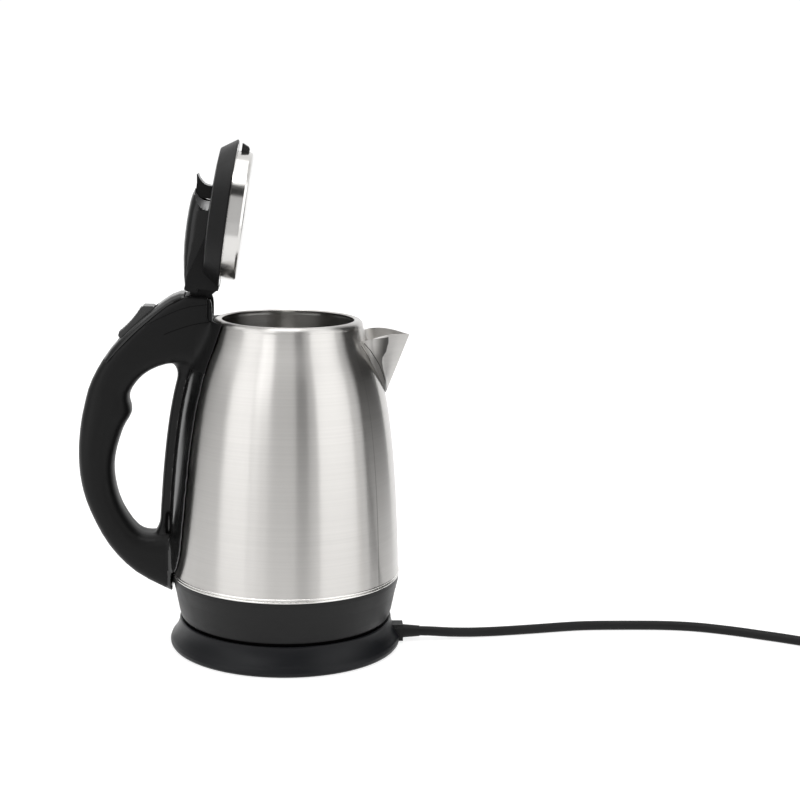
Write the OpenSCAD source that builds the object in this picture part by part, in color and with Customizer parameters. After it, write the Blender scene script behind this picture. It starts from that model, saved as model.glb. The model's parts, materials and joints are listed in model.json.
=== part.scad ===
// Electric kettle: a stainless vessel with a hinged lid, standing on a turning cordless base.
// Millimetres. The origin is the kettle's axis at the table top, +X is the spout side,
// -X the handle side and +Z up. The lid is drawn open, as it stands at rest on its spring.

/* [Vessel] */
// Height of the rim above the table
rim_z = 217.7; // [216.5:0.1:218.5]
// Outer radius of the vessel at its foot
foot_r = 74.7; // [74:0.1:75]
// Outer radius of the vessel where the rim's round begins
neck_r = 48.5; // [48:0.1:49]
// Inner radius of the mouth
mouth_r = 42.8; // [42:0.1:43.4]
// Thickness of the steel sheet
sheet = 0.8; // [0.6:0.1:1]
// Height of the raised middle of the vessel's floor above the table
floor_z = 40.6; // [40.2:0.1:41]

/* [Spout] */
// How far the spout's tip is from the kettle's axis
tip_x = 79; // [76:0.5:82]
// Height of the spout's tip above the table
tip_z = 208.2; // [206:0.1:209]
// Half the spout's width where its top edge meets the vessel
spout_half_w = 25.6; // [22:0.1:27]

/* [Power base] */
// Outer radius of the power base
base_r = 76.4; // [75.5:0.1:78]
// Height of the power base's raised rim
base_rim_z = 18.8; // [18:0.1:19]
// Height of the plateau that the kettle stands on
plateau_z = 15; // [14:0.1:15.2]
// Radius of the socket tower
tower_r = 20; // [19:0.1:20.2]

/* [Kettle foot] */
// Height of the lower edge of the plastic skirt
skirt_z = 20.6; // [20:0.1:21.5]
// Thickness of the plastic walls
wall = 2.2; // [1.8:0.1:2.4]

/* [Lid] */
// Outer radius of the lid's cover
lid_r = 48; // [47.5:0.1:48.2]
// Radius of the steel pan under the lid
pan_r = 41.3; // [40.5:0.1:41.5]
// How far the lid stands open in this drawing, in degrees
lid_open = 82.3; // [0:0.1:82.3]
// How far the latch travels
latch_travel = 4; // [3:0.1:4.2]

/* [Handle] */
// Half the handle's width at the lid's hinge
handle_top_w = 15; // [14.5:0.1:16]
// Half the handle's width at the grip
handle_grip_w = 13.6; // [12:0.1:15]
// Half the handle's width at its foot
handle_foot_w = 16.5; // [15:0.1:18]
// How far the handle's back bar stands off the vessel
bar_offset = 9.8; // [9:0.1:10.4]

/* [Mains lead] */
// Diameter of the mains lead
lead_d = 6.4; // [6:0.1:7]
// Radius of the coil at the middle of its turns
coil_r = 36; // [34:0.5:38]

/* [Hidden] */
$fn = 96;
fit = 0.05;      // running clearance of a pin in its bore

// ---------------------------------------------------------------- curves and lofts
function mix(a, b, t) = a + (b - a) * t;
// A point of a cubic Bezier curve
function bezier(p, t) =
    pow(1 - t, 3) * p[0] + 3 * t * pow(1 - t, 2) * p[1] + 3 * t * t * (1 - t) * p[2] + pow(t, 3) * p[3];
function bezier_line(p, n) = [for (i = [0:n]) bezier(p, i / n)];
// A point of a Catmull-Rom spline between b and c
function spline_point(a, b, c, d, t) =
    0.5 * (2 * b + (c - a) * t + (2 * a - 5 * b + 4 * c - d) * t * t + (3 * b - a - 3 * c + d) * t * t * t);
// A smooth line through hand-placed points, with n steps from each point to the next
function spline(p, n) =
    let (last = len(p) - 1)
    concat([for (i = [0:last - 1], k = [0:n - 1])
        spline_point(p[max(i - 1, 0)], p[i], p[i + 1], p[min(i + 2, last)], k / n)], [p[last]]);
function arc(cx, cy, r, from, to, n) =
    [for (i = [0:n]) let (a = mix(from, to, i / n)) [cx + r * cos(a), cy + r * sin(a)]];
function reversed(p) = [for (i = [len(p) - 1:-1:0]) p[i]];
function signed_pow(v, e) = sign(v) * pow(abs(v), e);
function unit(v) = v / norm(v);

// A solid through a row of closed rings, each counter-clockwise seen from the next one
module loft(rings) {
    n = len(rings[0]);
    last = len(rings) - 1;
    sides = [for (i = [0:last - 1], j = [0:n - 1], half = [0, 1])
        let (k = (j + 1) % n)
        half == 0 ? [(i + 1) * n + j, (i + 1) * n + k, i * n + k]
                  : [(i + 1) * n + j, i * n + k, i * n + j]];
    caps = [[for (j = [0:n - 1]) j], [for (j = [n - 1:-1:0]) last * n + j]];
    polyhedron(points = [for (r = rings, p = r) p], faces = concat(sides, caps), convexity = 8);
}

// A bent sheet between an outer and an inner grid of points, closed round its four edges
module sheet_between(outer, inner) {
    rows = len(outer);
    cols = len(outer[0]);
    count = rows * cols;
    function at(side, i, j) = side * count + i * cols + j;
    function quad(a, b, c, d) = [[a, b, c], [a, c, d]];
    faces = concat(
        [for (i = [0:rows - 2], j = [0:cols - 2])
            each quad(at(0, i, j), at(0, i + 1, j), at(0, i + 1, j + 1), at(0, i, j + 1))],
        [for (i = [0:rows - 2], j = [0:cols - 2])
            each quad(at(1, i, j), at(1, i, j + 1), at(1, i + 1, j + 1), at(1, i + 1, j))],
        [for (j = [0:cols - 2]) each quad(at(0, 0, j), at(0, 0, j + 1), at(1, 0, j + 1), at(1, 0, j))],
        [for (j = [0:cols - 2])
            each quad(at(0, rows - 1, j), at(1, rows - 1, j), at(1, rows - 1, j + 1), at(0, rows - 1,
                j + 1))],
        [for (i = [0:rows - 2]) each quad(at(0, i, 0), at(1, i, 0), at(1, i + 1, 0), at(0, i + 1, 0))],
        [for (i = [0:rows - 2])
            each quad(at(0, i, cols - 1), at(0, i + 1, cols - 1), at(1, i + 1, cols - 1), at(1, i,
                cols - 1))]);
    polyhedron(points = [for (g = [outer, inner], r = g, p = r) p], faces = faces, convexity = 8);
}

// A round tube of radius r swept along a path, with the given number of sides.
// The path never runs along ref, which keeps the tube from twisting.
module sweep(path, r, sides, ref = [0, 0, 1]) {
    last = len(path) - 1;
    function along(i) = unit(path[min(i + 1, last)] - path[max(i - 1, 0)]);
    function across(d) = unit(cross(ref, d));
    loft([for (i = [0:last])
        let (d = along(i), e = across(d), f = cross(d, e))
        [for (k = [0:sides - 1]) let (a = 360 * k / sides) path[i] + r * (cos(a) * e + sin(a) * f)]]);
}

// An outline in the X-Z plane, extruded to half_w each side of Y = 0
module side_plate(outline, half_w) {
    translate([0, half_w, 0]) rotate([90, 0, 0]) linear_extrude(2 * half_w) polygon(outline);
}

// A cylinder along Y from y0 to y1 through the point x, z
module cross_pin(x, z, r, y0, y1) {
    translate([x, y1, z]) rotate([90, 0, 0]) cylinder(h = y1 - y0, r = r);
}

// A flat-headed screw, head down, with its head's face at z = 0
module screw(head_r, shank_r, length) {
    cylinder(h = 1.4, r = head_r);
    translate([0, 0, 1.4]) cylinder(h = length - 1.4, r = shank_r);
}

// ---------------------------------------------------------------- vessel
body_top_z = rim_z - 3.7;
body_foot_z = 50.3;
vessel_curve = bezier_line([[foot_r, body_foot_z], [foot_r - 5.3, 192.6],
    [neck_r + 8.1, 184.7], [neck_r, body_top_z]], 28);
radius_by_height = [for (p = vessel_curve) [p[1], p[0]]];
function body_r(z) = lookup(z, radius_by_height);
skirt_in_r = 69.8;      // the vessel's lower skirt, inside the plastic housing
rim_round = arc(neck_r - 3.2, body_top_z + 0.5, 3.2, 0, 90, 6);

// The slanting way out, under the vessel's skirt and through the housing, for the leads to the handle
module lead_duct() {
    for (s = [-1, 1]) translate([-67, s * 2.4, 32.1]) rotate([0, -36.2, 0]) cylinder(h = 14.4, r = 2);
}

// A cylinder standing across the vessel's wall on the handle side
module steam_hole() {
    translate([-44, 0, 206.3]) rotate([0, -90, 0]) cylinder(h = 12, r = 2.7);
}

module window_outline() {
    polygon([[-9, 179], [9, 179], [11, 180.5], [19, 199], [18, 202], [-18, 202], [-19, 199], [-11, 180.5]]);
}

module vessel() color("silver") {
    inner_curve = [for (p = reversed(vessel_curve)) p - [sheet, 0]];
    difference() {
        rotate_extrude() polygon(concat(
            [[skirt_in_r, 37.5], [skirt_in_r, body_foot_z]],
            vessel_curve, rim_round,
            [[mouth_r + 0.4, rim_z], [mouth_r, rim_z - 0.4], [mouth_r + 0.4, rim_z - sheet]],
            reversed(arc(neck_r - 3.2, body_top_z + 0.5, 3.2 - sheet, 0, 90, 6)),
            inner_curve,
            [[foot_r - sheet, body_foot_z + sheet], [skirt_in_r - sheet, body_foot_z + sheet],
             [skirt_in_r - sheet, 37.5]]));
        translate([40, 0, 0]) rotate([90, 0, 90]) linear_extrude(40) window_outline();
        steam_hole();
        lead_duct();
    }
}

module seam_ring() color("gainsboro") {
    rotate_extrude() polygon([[70.6, 48.6], [74.7, 48.6], [75.2, 49], [75.2, 49.8], [74.8, 50.2],
        [70.6, 50.2]]);
}

// The spout is a bent sheet: its rows climb from the point at its foot to the open top edge.
// inset is 0 on its outer face and the sheet's thickness on its inner face.
spout_foot = [body_r(169) + 0.1, 0, 169];
spout_rows = 9;
spout_cols = 9;
function spout_row(v, inset) =
    let (ridge = mix(spout_foot, [tip_x, 0, tip_z], v),
         nose = [max(ridge[0] - 1.4 * inset, body_r(ridge[2]) + 0.1), 0, ridge[2]],
         weld_y = max(spout_half_w * sqrt(v) - inset, 0.02),
         weld_z = mix(spout_foot[2] + 1, 206.5, v),
         weld_r = body_r(weld_z) + 0.08,
         weld = [sqrt(weld_r * weld_r - weld_y * weld_y), weld_y, weld_z],
         side = [nose, nose + v * [-13, 12.5, 0], weld + v * [14, 2.5, 0], weld],
         arch = [0, 0, 2.4 * v])
    [for (i = [-spout_cols:spout_cols])
        let (t = abs(i) / spout_cols, p = bezier(side, t) + arch * sin(180 * t))
        [p[0], sign(i) * p[1], p[2]]];

module spout() color("silver") {
    heights = [for (i = [0:spout_rows]) mix(0.02, 1, pow(i / spout_rows, 1.2))];
    sheet_between([for (v = heights) spout_row(v, 0)], [for (v = heights) spout_row(v, sheet)]);
}

// A curved strainer clipped inside the pouring window
module spout_filter() color("dimgray") {
    inner = [for (z = [176:4:205]) [body_r(z) - sheet - 1.6, z]];
    outer = [for (z = [204:-4:176]) [body_r(z) - sheet - 0.3, z]];
    difference() {
        rotate([0, 0, -25]) rotate_extrude(angle = 50) polygon(concat(inner, outer));
        for (row = [0:5], k = [-4:4])
            if (abs(k) <= 1 + 0.6 * row)
                translate([40, k * 3.9, 181 + row * 3.9]) rotate([0, 90, 0]) cylinder(h = 30, r = 1.3,
                    $fn = 24);
    }
}

// ---------------------------------------------------------------- heater and control
module heater_plate() color("lightgray") {
    rotate_extrude() polygon([[0, 38], [68.9, 38], [68.9, 44], [68.1, 44], [66.4, 40.2], [64, 39.6],
        [30, 39.6], [26, floor_z], [0, floor_z]]);
}

element_r = 46;
module heating_element() color("darkgray") {
    tube = 3.3;
    rotate([0, 0, 30]) rotate_extrude(angle = 300) translate([element_r, 37.9 - tube]) circle(r = tube,
        $fn = 32);
    for (a = [36, 324])
        rotate([0, 0, a]) translate([element_r, 0, 27]) cylinder(h = 7, r = 1.6, $fn = 32);
}

module control_unit() color("ivory") {
    difference() {
        translate([0, 0, 29.1]) linear_extrude(8.5) square([46, 58], center = true);
        for (s = [-1, 1]) translate([0, s * 19, 34]) cylinder(h = 4, r = 9.3);
    }
}

module control_discs() color("goldenrod") {
    for (s = [-1, 1]) translate([0, s * 19, 34.1]) cylinder(h = 3.8, r1 = 9, r2 = 7.6);
}

// The socket tower's two ring grooves and the blades that drop into them, as radii
tower_top = 26;
outer_groove = [13.6, 16.4];
inner_groove = [6.6, 9.6];
pin_r = 2;
connector_z = tower_top + 0.4;
module ring_blade(groove) {
    rotate_extrude() polygon([[groove[0] + 0.8, connector_z - 0.05], [groove[0] + 0.8, 18.4],
        [groove[0] + 1.1, 18], [groove[1] - 1.1, 18], [groove[1] - 0.8, 18.4],
            [groove[1] - 0.8, connector_z - 0.05]]);
}

// The plastic half of the kettle's connector: a disc with a skirt that drops round the tower
module kettle_connector() color("black") {
    rotate_extrude() polygon([[0, connector_z], [tower_r + 0.4, connector_z], [tower_r + 0.4, 20],
        [tower_r + 0.9, 19.4], [tower_r + 3, 19.4], [25.6, 22], [25.6, 29], [0, 29]]);
}

module connector_pins() color("gold") {
    translate([0, 0, 18.5]) cylinder(h = connector_z - 18.55, r = pin_r);
    translate([0, 0, 17.5]) cylinder(h = 1, r1 = 1.2, r2 = pin_r);
    ring_blade(inner_groove);
    ring_blade(outer_groove);
}

// ---------------------------------------------------------------- kettle foot
screw_angles = [30, 150, 270];
screw_ring_r = 58;
module bottom_housing() color("black") {
    outer = [[74.9, 48.5], [74.8, 45.8], [73.9, 41.6], [72.8, 37], [71.7, 31], [70.6, 25.5],
        [69.6, skirt_z + 1.2],
        [69.2, skirt_z + 0.3], [68.4, skirt_z]];
    inner = [[67.2, skirt_z + 0.4], [67.4, 25.5], [68.4, 31], [skirt_in_r + 0.5, 37.2],
        [skirt_in_r + 0.5, 48.5]];
    difference() {
        rotate_extrude() polygon(concat(outer, inner));
        lead_duct();
    }
    for (a = screw_angles) rotate([0, 0, a]) {
        difference() {
            translate([screw_ring_r, 0, 21.4]) cylinder(h = 10.6, r = 3.4);
            translate([screw_ring_r, 0, 20]) cylinder(h = 10, r = 1.35);
        }
        // rib that ties the screw boss to the wall
        translate([screw_ring_r + 3.2, -0.9, 23.2]) cube([7, 1.8, 8]);
    }
}

module bottom_cover() color("black") {
    difference() {
        rotate_extrude() polygon([[25.9, 18.6], [27.8, 17.4], [53, 17.4], [54, plateau_z + 0.3],
            [63, plateau_z + 0.3], [64, 17.4], [65.6, 19.4], [66.8, 21], [66.8, 22.8], [65, 22.8],
                [63, 21.2],
            [28, 20], [28, 29], [25.9, 29]]);
        for (a = screw_angles) rotate([0, 0, a]) translate([screw_ring_r, 0, 10]) {
            cylinder(h = 8.6, r = 3.2);
            cylinder(h = 20, r = 1.6);
        }
    }
}

module bottom_screws() color("silver") {
    for (a = screw_angles) rotate([0, 0, a]) translate([screw_ring_r, 0, 17.1]) screw(2.8, 1.3, 11);
}

// ---------------------------------------------------------------- power base
foot_z = 0.8;        // height of the base's underside above the table
feet_angles = [45:90:315];
foot_pad_r = 6;
base_screw_angles = [60:120:300];
base_screw_ring = 48;
gland_half_w = 7;
lead_z = 6;          // height of the lead's axis where it leaves the base

module base_cover() color("black") {
    outer = concat([[75.4, foot_z], [base_r - 0.2, 1.9], [base_r, 3.6], [base_r - 0.7, 5.6]],
        bezier_line([[base_r - 1.4, 6.6], [72.6, 9.4], [70.8, 13], [70.3, 17.4]], 10),
        arc(69.3, base_rim_z - 1, 1, 0, 120, 5));
    dish = [[67, 16.6], [64.5, plateau_z], [tower_r + 0.6, plateau_z]];
    inside = concat([[tower_r + 0.6, plateau_z - wall], [63.6, plateau_z - wall], [66.4, 14.6]],
        bezier_line([[68.1, 14.8], [68.6, 11.4], [70.4, 7.6], [73, 5]], 6),
        [[73.9, 3.4], [73.4, foot_z]]);
    difference() {
        union() {
            rotate_extrude() polygon(concat(outer, dish, inside));
            for (a = base_screw_angles) rotate([0, 0, a]) translate([base_screw_ring, 0, 3])
                cylinder(h = plateau_z - 4, r = 3.6);
        }
        for (a = base_screw_angles) rotate([0, 0, a]) translate([base_screw_ring, 0, 0]) cylinder(h = 11,
            r = 1.45);
        // notch for the lead's strain relief
        translate([60, -gland_half_w, -1]) cube([20, 2 * gland_half_w, 13]);
    }
}

module base_plate() color("black") {
    difference() {
        translate([0, 0, foot_z]) cylinder(h = 2, r = 73.2);
        at_feet() translate([0, 0, foot_z - 1]) cylinder(h = 2, r = foot_pad_r);
        for (a = base_screw_angles) rotate([0, 0, a]) translate([base_screw_ring, 0, -1]) {
            cylinder(h = 3, r = 3.2);
            cylinder(h = 8, r = 1.7);
        }
        translate([60, -gland_half_w, 0]) cube([20, 2 * gland_half_w, 6]);
    }
}

// The places of the rubber feet: one under the socket and four near the rim
module at_feet() {
    children();
    for (a = feet_angles) rotate([0, 0, a]) translate([60, 0, 0]) children();
}

module base_feet() color("dimgray") {
    at_feet() {
        cylinder(h = 0.5, r1 = foot_pad_r - 0.5, r2 = foot_pad_r);
        translate([0, 0, 0.5]) cylinder(h = 1.3, r = foot_pad_r);
    }
}

module base_screws() color("silver") {
    for (a = base_screw_angles) rotate([0, 0, a]) translate([base_screw_ring, 0, 0.6]) screw(2.9, 1.4, 9);
}

// The female half of the connector: a tower with two ring grooves and a pin hole
module base_socket() color("black") {
    difference() {
        union() {
            translate([0, 0, 8]) cylinder(h = tower_top - 9.5, r = tower_r);
            translate([0, 0, tower_top - 1.5]) cylinder(h = 1.5, r1 = tower_r, r2 = tower_r - 1.5);
            translate([0, 0, plateau_z - wall - 3]) cylinder(h = 3, r = tower_r + 5);
        }
        for (g = [inner_groove, outer_groove]) translate([0, 0, 12]) difference() {
            cylinder(h = 20, r = g[1]);
            translate([0, 0, -1]) cylinder(h = 22, r = g[0]);
        }
        translate([0, 0, 12]) cylinder(h = 20, r = pin_r + 0.5);
    }
}

module socket_contacts() color("gold") {
    for (g = [inner_groove, outer_groove]) translate([0, 0, 12]) difference() {
        cylinder(h = 4.6, r = g[1] - 0.3);
        translate([0, 0, -1]) cylinder(h = 7, r = g[0] + 0.3);
    }
    translate([0, 0, 12]) cylinder(h = 4, r = pin_r);
}

// A loose ring on the plateau round the tower: the kettle's connector rests on it and turns it
module shutter_ring() color("black") {
    rotate_extrude() polygon([[tower_r + 0.4, plateau_z + 0.2], [24.2, plateau_z + 0.2],
        [24.6, plateau_z + 0.6],
        [24.6, 18], [23.6, 19], [tower_r + 0.8, 19], [tower_r + 0.4, 18.6]]);
}

// ---------------------------------------------------------------- mains lead
// A block held in the base's notch, and a tapered sleeve that the lead comes out of
sleeve_end_x = 90;
module strain_relief() color("black") {
    w = gland_half_w - 0.1;
    translate([66, -w, 0]) rotate([90, 0, 90]) linear_extrude(12.6)
        polygon([[0, 1.2], [2 * w, 1.2], [2 * w, 9.6], [2 * w - 2, 11.8], [2, 11.8], [0, 9.6]]);
    translate([78.6, 0, lead_z]) rotate([0, 90, 0])
        cylinder(h = sleeve_end_x - 78.6, r1 = lead_d / 2 + 1.3, r2 = lead_d / 2 + 0.4);
}

// The lead's route on the table, placed by hand: out of the sleeve, down, and along to the coil
lead_route = [[90, 0, 6], [97, 0, 5.8], [104, 0.3, 5.3], [111, 1.1, 4.7], [118, 2.2, 4.2], [125, 3.6, 3.7],
    [132, 5, 3.4], [142, 6.4, 3.3], [153, 8.2, 3.3], [164, 10.3, 3.3], [175, 12.5, 3.3], [188, 15.3, 3.3],
    [203, 17.9, 3.3], [217, 18.8, 3.3], [231, 19, 3.3], [245, 19, 3.3], [259, 18.6, 3.3], [273, 17.1, 3.3],
    [286, 14.2, 3.3], [299, 9.6, 3.3], [312, 4, 3.3], [324, -2, 3.3], [336, -8, 3.3], [348, -14.6, 3.3],
    [359, -20.6, 3.3], [370, -26.2, 3.3], [379, -30.3, 3.4], [388, -33.4, 3.6]];
coil_centre = [408, -1];
coil_z = [0.7, 14];
tail_route = [[372, -14, 10.6], [372, -22, 10.8], [372, -30, 11.1], [372, -38, 11.6], [372, -46, 12]];

module cord() color("black") {
    sweep(lead_route, lead_d / 2, 10);
}

module cord_coil() color("black") {
    r_in = coil_r - lead_d / 2 - 0.2;
    r_out = coil_r + lead_d / 2 + 0.2;
    translate([coil_centre[0], coil_centre[1], 0]) rotate_extrude()
        polygon([[r_in, coil_z[0] + 2], [r_in + 2, coil_z[0]], [r_out - 2, coil_z[0]],
            [r_out, coil_z[0] + 2],
            [r_out, coil_z[1] - 2], [r_out - 2, coil_z[1]], [r_in + 2, coil_z[1]], [r_in, coil_z[1] - 2]]);
}

module cord_tail() color("black") {
    sweep(tail_route, lead_d / 2, 10);
}

// A strap round the coil's bundle
module cord_tie() color("dimgray") {
    half = lead_d / 2 + 0.5;
    translate([coil_centre[0] + coil_r, coil_centre[1], 0]) difference() {
        translate([-half - 0.7, -3.5, 0]) cube([2 * half + 1.4, 7, coil_z[1] + 0.9]);
        translate([-half, -5, coil_z[0] - 0.1]) cube([2 * half, 10, coil_z[1] - coil_z[0] + 0.2]);
    }
}

// A moulded three-blade plug lying on its flat side
plug_y = -46;
plug_z = 12;
module at_plug() {
    translate([tail_route[0][0], plug_y, plug_z]) rotate([90, 0, 0]) children();
}
module plug_body() color("black") {
    at_plug() {
        cylinder(h = 18, r1 = lead_d / 2 + 0.5, r2 = 6);
        translate([0, 0, 18]) linear_extrude(8, scale = 1) polygon([[-9, -11.8], [9, -11.8], [12, -8],
            [12, 8],
            [9, 11.8], [-9, 11.8], [-12, 8], [-12, -8]]);
        translate([0, 0, 26]) linear_extrude(22) polygon([[-12, -11.9], [12, -11.9], [15, -8.5], [15, 8.5],
            [12, 11.9], [-12, 11.9], [-15, 8.5], [-15, -8.5]]);
    }
}
module plug_pins() color("silver") {
    at_plug() {
        for (s = [-1, 1]) translate([s * 6.9, 3.6, 48]) rotate([0, 0, s * 30])
            linear_extrude(17.5) square([1.6, 6.3], center = true);
        translate([0, -6.4, 48]) linear_extrude(20) square([1.6, 6.3], center = true);
    }
}

// Leads and clamp inside the base
module base_leads() color("saddlebrown") {
    for (k = [-1, 0, 1])
        sweep([[65.8, 2.4 * k, 6], [58, 3 * k, 6.2], [48, 4 * k, 6.4], [36, 5.2 * k, 6.4],
            [26, 5.6 * k, 6.6]], 1, 6);
}

module lead_clamp() color("black") {
    difference() {
        translate([58, -10, 3]) cube([5, 20, 6.8]);
        for (k = [-1, 0, 1]) translate([50, 2.85 * k, 6.15]) rotate([0, 90, 0]) cylinder(h = 20, r = 1.3);
    }
}

// ---------------------------------------------------------------- handle
// Pairs of points along the handle in the X-Z plane: on its outer edge and facing it on its inner edge
handle_pairs = [
    [[-46, 234], [-42, 211]],
    [[-69.3, 234.2], [-48, 197]],
    [[-84, 225.6], [-58, 189]],
    [[-97, 214.8], [-77, 188.4]],
    [[-113.5, 198], [-92.6, 181]],
    [[-126, 177.3], [-102.2, 167.6]],
    [[-131.4, 159.8], [-100.7, 156]],
    [[-134.2, 144.4], [-106.6, 144.6]],
    [[-135.3, 127], [-112, 126]],
    [[-133.9, 109.5], [-112, 110]],
    [[-128.4, 90.6], [-107.4, 93.4]],
    [[-116.2, 67.4], [-97.6, 78.6]],
    [[-98.4, 49.2], [-88.6, 75.2]],
    [[-74.4, 36.4], [-76.4, 77.2]]];
handle_steps = 3;
handle_lines = [for (side = [0, 1]) spline([for (p = handle_pairs) p[side]], handle_steps)];
// Half width at each pair, and how square the section is there: 2 is an ellipse, more is squarer
handle_sections = spline([[handle_top_w, 5.5], [handle_top_w, 5.5], [handle_top_w, 5.5],
    [handle_top_w - 0.3, 5.2],
    [handle_grip_w + 0.8, 4.2], [handle_grip_w, 3.4], [handle_grip_w, 3], [handle_grip_w, 2.9],
        [handle_grip_w, 2.9],
    [handle_grip_w, 2.9], [handle_grip_w + 0.4, 2.9], [mix(handle_grip_w, handle_foot_w, 0.4), 3],
    [mix(handle_grip_w, handle_foot_w, 0.75), 3.4], [handle_foot_w, 4]], handle_steps);

// A closed ring between an outer and an inner point: a rounded rectangle of half width s[0]
function handle_ring(o, i, s, n) =
    let (c = (o + i) / 2, d = (o - i) / 2)
    [for (k = [0:n - 1])
        let (a = 360 * (k + 0.5) / n, e = 2 / s[1],
             p = c + d * signed_pow(cos(a), e))
        [p[0], s[0] * signed_pow(sin(a), e), p[1]]];

module handle_loop() {
    loft([for (k = [0:len(handle_lines[0]) - 1])
        handle_ring(handle_lines[0][k], handle_lines[1][k], handle_sections[k], 24)]);
}

// Closed ring of the back bar at height z: an arc hugging the saddle, bulged outwards
saddle_thickness = [[50, 3.2], [84, 3.4], [218, 3.5]];
bar_angle = 8.2;
// How much further the bar stands off where it flares into the handle's foot and arm
bar_flare = [[72, 2.6], [77, 2.2], [79, 1.2], [81.5, 0.4], [84, 0], [178, 0], [181, 0.5], [184, 1.7],
    [186, 3.2],
    [187.5, 5], [189, 8]];
collar_z = rim_z - 0.3;
function saddle_r(z) = body_r(z) + lookup(z, saddle_thickness);
function bar_ring(z) =
    let (r0 = saddle_r(z) - 1.2, r1 = body_r(z) + bar_offset + lookup(z, bar_flare))
    concat(
        [for (k = [0:6]) let (a = mix(-bar_angle, bar_angle, k / 6)) [-r0 * cos(a), r0 * sin(a), z]],
        [for (k = [0:8]) let (a = mix(bar_angle, -bar_angle, k / 8),
            r = r0 + (r1 - r0) * pow(1 - pow(abs(a / bar_angle), 4), 0.5))
            [-r * cos(a), r * sin(a), z]]);

module back_bar() {
    loft([for (z = [72, 77, 79, 81.5, 84, 91, 98, 105, 112, 119, 126, 133, 140, 147, 154, 161, 168, 174,
        178, 181,
        184, 186, 187.5, 189]) bar_ring(z)]);
}

// Region of the glossy top cover, in the X-Z plane, open at its outer side
trim_end_x = -66.4;
trim_edge = spline([[trim_end_x, 232], [-70.6, 230], [-77, 226.6], [-86, 219.5], [-97.5, 209.2],
    [-108.2, 198.2], [-115.4, 189.8]], 4);
trim_region = concat(trim_edge, [[-120.5, 193.6], [-126, 215], [-100, 246], [trim_end_x, 246]]);

// Frame of the steam switch: X up along the handle's top, Z out of it, origin on the rocker's pivot
switch_pivot = [-93.6, 208.9];
switch_tilt = 41.5;
module at_switch() {
    translate([switch_pivot[0], 0, switch_pivot[1]]) rotate([0, -switch_tilt, 0]) children();
}

module handle_shell() color("black") {
    difference() {
        union() {
            handle_loop();
            back_bar();
        }
        side_plate(trim_region, 30);
        // pocket of the hinge block
        translate([-62.6, -11.6, 217.4]) cube([20, 23.2, 30]);
        translate([-50.7, -20, 200]) cube([20, 40, 50]);
        // hollow of the steam switch
        at_switch() translate([-19, -10.2, -16.4]) cube([38.4, 20.4, 30]);
        // the saddle's place
        rotate_extrude() polygon(concat([[71.8, 31], [73.1, 37], [74.2, 41.6], [75.2, 45.8], [75.5, 50.4]],
            [for (z = [50.5:8:213]) [saddle_r(z) + 0.12, z]], [[saddle_r(214) + 0.12, 214],
            [saddle_r(218) + 0.12, collar_z + 0.1], [40, collar_z + 0.1], [40, 31]]));
        lead_channel();
        // the leads' way up from the housing
        translate([-79.2, -4.4, 40.6]) cube([7, 8.8, 11]);
        along_steam_tube() cylinder(h = 40, r = 2.7);
        lead_passages();
        // top beside the lid's knuckle, lower than the trim and rounded off over the hinge
        side_plate([[trim_end_x - 0.2, 233.2], [-54.4, 233.2], [-52.4, 232.8], [-51.2, 232],
            [-50.4, 230.8], [-40, 230.8],
            [-40, 250], [trim_end_x - 0.2, 250]], 30);
        // screw into the vessel's lower bracket, from below
        translate([-84, 0, 36]) cylinder(h = 22, r = 1.3);
        translate([-84, 0, 36]) cylinder(h = 12, r = 3);
    }
}

module handle_trim() color("black") {
    difference() {
        intersection() {
            handle_loop();
            side_plate(trim_region, 30);
        }
        at_switch() translate([-15.8, -7, -20]) cube([34.6, 14, 60]);
    }
}

module handle_screw() color("silver") {
    translate([-84, 0, 46.6]) screw(2.9, 1.25, 11);
}

// The wrap plate between the handle and the vessel: thick behind the bar, thin at its edges
saddle_half_angles = [[50, 15.5], [56, 20.5], [63, 24], [72, 25.5], [92, 27.2], [112, 28.5], [131, 29],
    [150, 29.5],
    [170, 30.8], [183, 31], [195, 30.4], [218, 32]];
function saddle_ring(z) =
    let (half = lookup(z, saddle_half_angles), r = body_r(z))
    concat(
        [for (k = [0:12]) let (a = mix(-half, half, k / 12)) [-(r + 0.25) * cos(a), (r + 0.25) * sin(a),
            z]],
        [for (k = [0:16])
            let (a = mix(half, -half, k / 16), away = max(abs(a) - bar_angle, 0) / (half - bar_angle),
                 t = r + 1.1 + (saddle_r(z) - r - 1.1) * (0.5 + 0.5 * cos(180 * away)))
            [-t * cos(a), t * sin(a), z]]);

module handle_saddle() color("black") {
    difference() {
        loft([for (z = concat([50.8, 54], [for (k = [58:10:208]) k], [214, collar_z])) saddle_ring(z)]);
        lead_channel();
        along_steam_tube() translate([0, 0, -10]) cylinder(h = 40, r = 2.7);
        lead_passages();
    }
}

// ---------------------------------------------------------------- inside the handle
steam_tube_angle = 5.2;
module along_steam_tube() {
    translate([-51.9, 0, 207]) rotate([0, -90 + steam_tube_angle, 0]) children();
}

module steam_tube() color("dimgray") {
    along_steam_tube() difference() {
        cylinder(h = 22.7, r = 2.4);
        translate([0, 0, -1]) cylinder(h = 30, r = 1.5);
    }
}

// The leads climb from the control through the saddle's channel to the switch
lead_side = 4.6;
lead_channel_angle = 6.6;
foot_channel_angle = 7.2;
lead_climb = concat([[-52, 34], [-60, 33.8], [-67, 34.2], [-70.2, 36.5], [-73.9, 41.6], [-76.4, 46.6]],
    [for (z = [52:17:188]) [-body_r(z) - 2.3, z]], [[-56.2, 197], [-56, 202.4], [-59.5, 204.4],
        [-71.5, 208.3]]);
module handle_leads() color("saddlebrown") {
    for (s = [-1, 1])
        sweep([for (p = lead_climb) [p[0], s * mix(2, lead_side, min((p[1] - 34) / 40, 1)), p[1]]],
            0.9, 6, [0, 1, 0]);
}

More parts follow.
